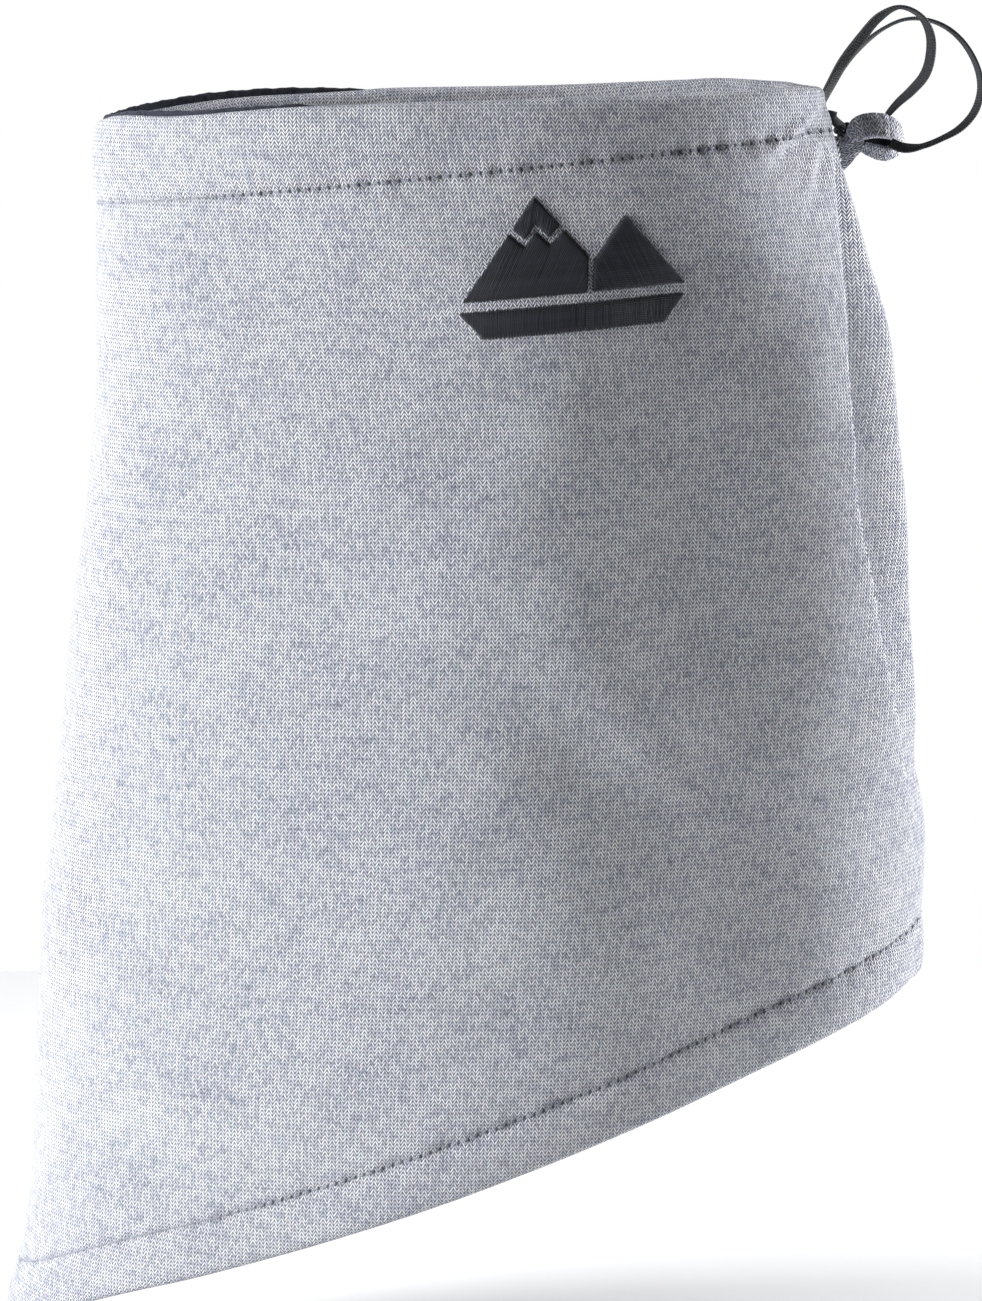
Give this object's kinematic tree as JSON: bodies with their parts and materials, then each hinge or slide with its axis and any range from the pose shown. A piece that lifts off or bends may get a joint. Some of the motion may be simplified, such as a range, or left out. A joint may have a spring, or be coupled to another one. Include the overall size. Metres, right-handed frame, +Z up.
{
  "type": "neck gaiter",
  "caption": "Flared two-layer knit neck tube with a slanted hem, a drawcord casing round the neck opening and a sewn tape keeper for the elastic drawcord at the back.",
  "frame": {"origin": "centre of the neck opening, level with the rim", "axes": "+Z up out of the neck opening, +X to the back of the neck where the drawcord leaves, -X to the front of the chest"},
  "size_m": [0.3046, 0.1556, 0.4103],
  "materials": {
    "shell_knit": "heather grey brushed jersey",
    "tape_knit": "heather grey jersey tape",
    "lining_knit": "black brushed fleece",
    "elastic": "flat woven elastic",
    "black_thread": "satin embroidery thread",
    "grey_thread": "sewing thread",
    "backing": "non-woven embroidery backing",
    "label": "woven satin label, blank"
  },
  "bodies": {
    "root": {"outer_shell": "shell_knit", "inner_lining": "lining_knit", "lining_edge": "lining_knit", "casing_topstitch": "grey_thread", "casing_bobbin_thread": "grey_thread", "hem_topstitch": "grey_thread", "hem_bobbin_thread": "grey_thread", "shell_back_seam": "grey_thread", "lining_back_seam": "black_thread", "emblem_backing": "backing", "emblem_snow_cap": "black_thread", "emblem_tall_peak": "black_thread", "emblem_short_peak": "black_thread", "emblem_base_bar": "black_thread", "drawcord_in_casing": "elastic", "keeper_patch": "tape_knit", "keeper_upper_bartack": "grey_thread", "keeper_lower_bartack": "grey_thread", "cord_exit_buttonhole": "grey_thread", "care_label": "label"},
    "keeper": {"keeper_web": "tape_knit", "keeper_loop": "tape_knit", "drawcord_tied_ends": "elastic", "drawcord_knot": "elastic", "drawcord_tail": "elastic"},
    "loops": {"drawcord_inner_strand": "elastic", "drawcord_outer_strand": "elastic"}
  },
  "joints": [
    {"name": "keeper_swing", "type": "hinge", "parent": "root", "child": "keeper", "pos_m": [0.1182, 0.01, -0.019], "axis": [-0.4919, 0.2669, 0.8288], "range_deg": [-35, 45]},
    {"name": "loops_swing", "type": "hinge", "parent": "keeper", "child": "loops", "pos_m": [0.1284, 0.01, -0.0146], "axis": [0.8288, -0.2809, -0.4839], "range_deg": [-30, 12]}
  ]
}
